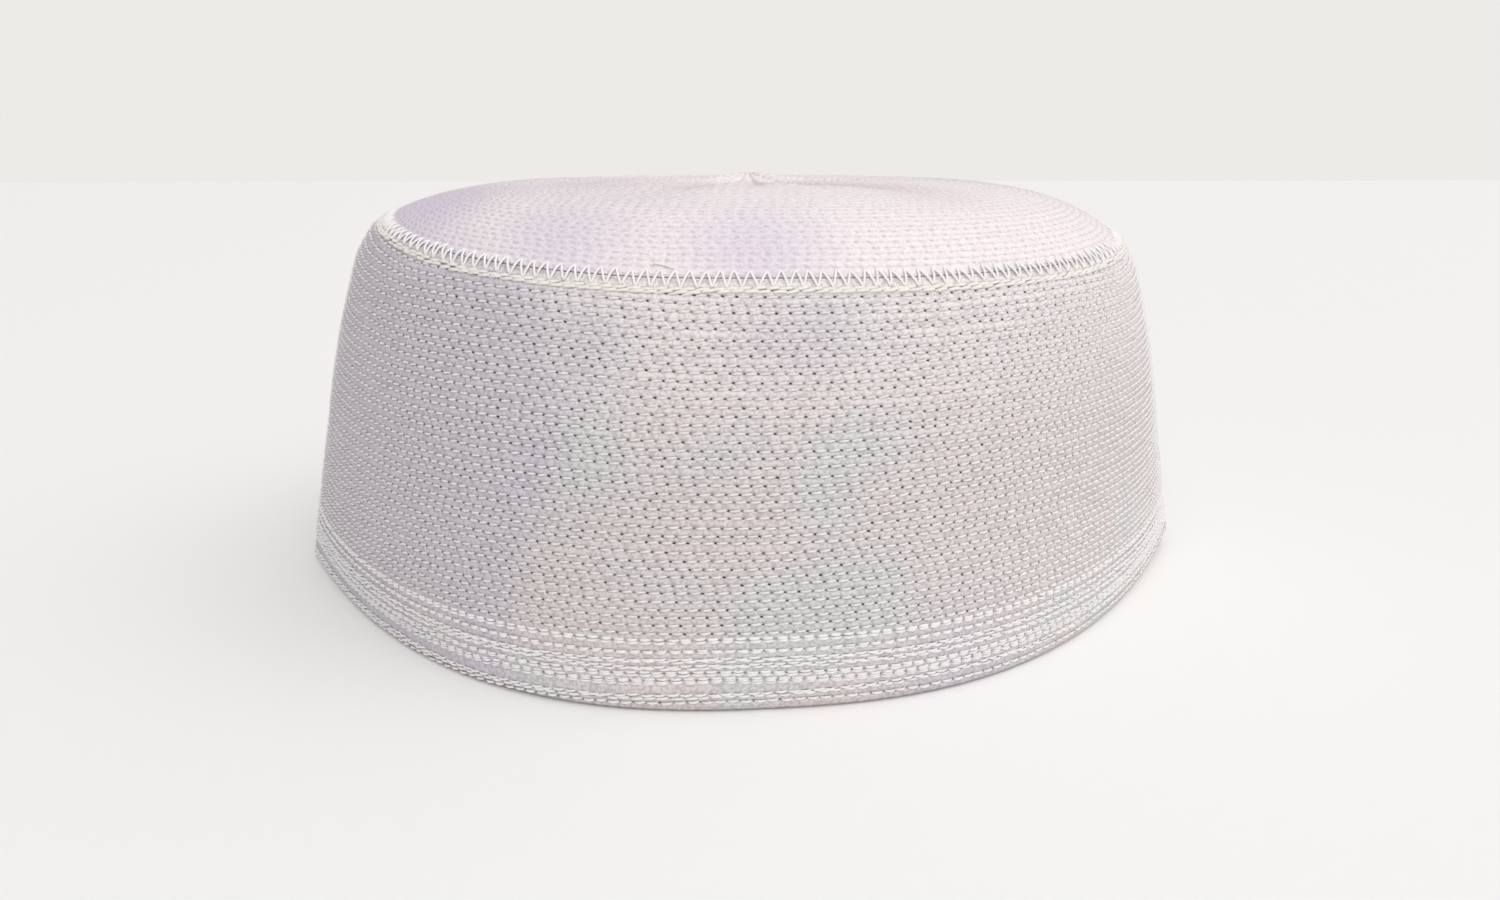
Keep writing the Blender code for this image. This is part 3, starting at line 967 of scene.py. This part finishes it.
# Shoulder row
# Two thick soft cotton threads sewn loosely along the band's top edge, just under the zigzag. Their stitches
# overlap end to end.
SHOULDER_SIZES = dict(shown=1.04, width=0.78 * MM, sink=-0.1 * MM, rise=0.2 * MM, slant=0.24 * MM)
SHOULDER_LOOSE = 0.35
SHOULDER_SPREAD = 0.50 * MM  # between the two threads
SHOULDER_STEP = 0.4  # stitches by which the second is moved along
shoulder_count = band_counts[FIRST_FINE + FINE_ROWS]
shoulder = [
    stitch_row(
        SHOULDER_LINE,
        shoulder_count,
        SHOULDER_STEP * k,
        shift=SHOULDER_SPREAD * (k - 0.5),
        loose=SHOULDER_LOOSE,
        **SHOULDER_SIZES,
    )
    for k in range(2)
]
SHOULDER_THREAD = sewing_thread("shoulder_thread", (0.95, 0.925, 0.88, 1))
thread_piece("shoulder_stitches", shoulder, 4, SHOULDER_THREAD)

# Zigzag seam
# One white thread that goes to and fro over the butted edges of band and crown and holds them together. On
# the front's right half it leans, with one stroke long and the other almost upright.
ZIGZAG_PITCH = 2.5 * MM
ZIGZAG_LOW = -1.75 * MM  # from the seam line
ZIGZAG_HIGH = 1.65 * MM
ZIGZAG_WIDTH = 0.46 * MM
ZIGZAG_SINK = -0.10 * MM
ZIGZAG_RISE = 0.34 * MM
ZIGZAG_POWER = 0.6  # of the sine that lifts a stroke
ZIGZAG_PLACES = np.linspace(0, 1, 7)  # along a stroke
ZIGZAG_LEAN = 0.26  # stitches by which the upper points move back where the thread leans
LEAN_PLACES = (0.75, 0.80, 0.97, 1)  # shares of the way round where it starts to lean, leans, and stands up
LEAN_SHARES = (0, 1, 1, 0)
LOW_STRAY = (0.04, 0.10 * MM)  # stitches and run by which a lower point strays, and an upper one
HIGH_STRAY = (0.05, 0.14 * MM)
LOOSE_PLACES = (0.7095, 0.7170)  # shares of the way round at which the loose end starts and stops
LOOSE_RUNS = (2.5 * MM, 1.7 * MM)  # from the solids' seam
LOOSE_WIDTH = 0.34 * MM


def zigzag():
    """Strokes to and fro between two rows of points, each lifted by a power of half a sine wave."""
    count = int(row_lengths(SEAM_LINE[None])[0] / ZIGZAG_PITCH)
    t = ZIGZAG_PLACES
    low = np.arange(count) + stitch_random.normal(0, LOW_STRAY[0], count)
    lean = ZIGZAG_LEAN * np.interp(low / count, LEAN_PLACES, LEAN_SHARES)
    high = low + 0.5 - lean + stitch_random.normal(0, HIGH_STRAY[0], count)
    starts = np.concatenate([low, high])
    ends = np.concatenate([high, np.roll(low, -1)])
    ends[-1] += count
    low_run = ZIGZAG_LOW + stitch_random.normal(0, LOW_STRAY[1], count)
    high_run = ZIGZAG_HIGH + stitch_random.normal(0, HIGH_STRAY[1], count)
    from_run = np.concatenate([low_run, high_run])
    to_run = np.concatenate([high_run, np.roll(low_run, -1)])
    share = (starts[:, None] + (ends - starts)[:, None] * t) / count
    base = np.interp(share, CHART_SHARES, SEAM_LINE, period=1)
    run = base + from_run[:, None] + (to_run - from_run)[:, None] * t
    lift = ZIGZAG_SINK + (ZIGZAG_RISE - ZIGZAG_SINK) * np.sin(math.pi * t) ** ZIGZAG_POWER
    centre, facing = on_face(share, run, np.broadcast_to(lift, share.shape))
    return centre, facing, np.full(share.shape, ZIGZAG_WIDTH / 2)


def loose_end():
    """The thread's end, on the crown beside the zigzag: its run falls with the square of the way."""
    t = ZIGZAG_PLACES[None]
    share = LOOSE_PLACES[0] + (LOOSE_PLACES[1] - LOOSE_PLACES[0]) * t
    run = SEAM_RUN + LOOSE_RUNS[0] + (LOOSE_RUNS[1] - LOOSE_RUNS[0]) * t**2
    centre, facing = on_face(share, run, ZIGZAG_RISE * np.ones(share.shape))
    return centre, facing, np.full(share.shape, LOOSE_WIDTH / 2)


thread_piece("zigzag_seam", [zigzag(), loose_end()], 6, BAND_THREAD)

# Floor, light and camera
# A plain pale floor and soft studio light, mostly from above and the right. The camera stands where the
# photograph's did, close to the cap and a little above it.
CAMERA_PLACE = (-0.01237, -0.2555, 0.0958)
CAMERA_DOWN = math.radians(15.41)
CAMERA_TURN = -0.05  # to the right, in radians
CAMERA_LENS = 26.4
FLOOR_REACH = 3.0
FLOOR_COLOUR = (0.91, 0.91, 0.905, 1)
LAMPS = (  # name, way towards it, softness in degrees, power and colour
    ("key_light", (1.45, -0.6, 2.2), 50, 0.58, (1.0, 0.985, 0.965)),
    ("fill_light", (-0.1, -1.8, 1.8), 60, 1.26, (1.0, 0.985, 0.975)),
)
SKY_LIGHT = 0.60  # strength of the light from all round, level with the cap
SKY_FALL = 0.50  # what it loses towards -X
SKY_GAIN = 0.06  # what it gains towards +X
SKY_LIFT = 0.10  # and what it gains upwards
SKY_COLOUR = (1.0, 0.985, 0.975, 1)
BACKDROP_COLOUR = (0.845, 0.825, 0.80, 1)


def make_floor():
    """A wide square at the height of the rim."""
    corners = np.array([(-1, -1, 0), (1, -1, 0), (1, 1, 0), (-1, 1, 0)]) * FLOOR_REACH
    material, _, shader = new_material("floor_white", roughness=0.7, specular=0.5, sheen=0.0)
    shader.inputs["Base Color"].default_value = FLOOR_COLOUR
    floor = new_piece("floor", corners, [np.array([[0, 1, 2, 3]])], [np.zeros((4, 2))], material)


def make_lamp(name, way, softness, power, colour):
    """A wide soft light that shines evenly from the way given: tilted by its angle from upright."""
    lamp = bpy.data.lights.new(name, "SUN")
    lamp.angle = math.radians(softness)
    lamp.energy = power
    lamp.color = colour
    lamp_object = bpy.data.objects.new(name, lamp)
    across = math.hypot(way[0], way[1])
    lamp_object.rotation_euler = (math.atan2(across, way[2]), 0, math.atan2(way[0], -way[1]))
    bpy.context.scene.collection.objects.link(lamp_object)


def make_studio_light():
    """Light from all round, weaker from -X and from below. The camera sees it as one even pale tone."""
    world = bpy.data.worlds.new("studio")
    world.use_nodes = True
    tree = world.node_tree
    across, _, up = split(tree, tree.nodes.new("ShaderNodeTexCoord").outputs["Generated"])
    fall = maths(tree, "MULTIPLY", across, SKY_FALL)
    side = maths(tree, "MINIMUM", fall, maths(tree, "MULTIPLY", across, SKY_GAIN))
    level = maths(tree, "ADD", side, SKY_LIGHT)
    light = maths(tree, "MULTIPLY_ADD", up, SKY_LIFT, level)
    seen = tree.nodes.new("ShaderNodeLightPath").outputs["Is Camera Ray"]
    background = tree.nodes["Background"]
    backdrop = tree.nodes.new("ShaderNodeBackground")
    backdrop.inputs["Color"].default_value = BACKDROP_COLOUR
    background.inputs["Color"].default_value = SKY_COLOUR
    tree.links.new(light, background.inputs["Strength"])
    either = tree.nodes.new("ShaderNodeMixShader")
    tree.links.new(seen, either.inputs[0])
    tree.links.new(background.outputs[0], either.inputs[1])
    tree.links.new(backdrop.outputs[0], either.inputs[2])
    tree.links.new(either.outputs[0], tree.nodes["World Output"].inputs["Surface"])
    bpy.context.scene.world = world


def make_camera():
    """The camera: level, then tipped down and turned by its two angles."""
    camera = bpy.data.cameras.new("camera")
    camera.lens = CAMERA_LENS
    camera.sensor_width = 36
    camera.clip_start = 0.01
    camera_object = bpy.data.objects.new("camera", camera)
    camera_object.location = CAMERA_PLACE
    camera_object.rotation_euler = (math.pi / 2 - CAMERA_DOWN, 0, CAMERA_TURN)
    bpy.context.scene.collection.objects.link(camera_object)
    bpy.context.scene.camera = camera_object


make_floor()
for values in LAMPS:
    make_lamp(*values)
make_studio_light()
bpy.context.scene.view_settings.view_transform = "Standard"
make_camera()
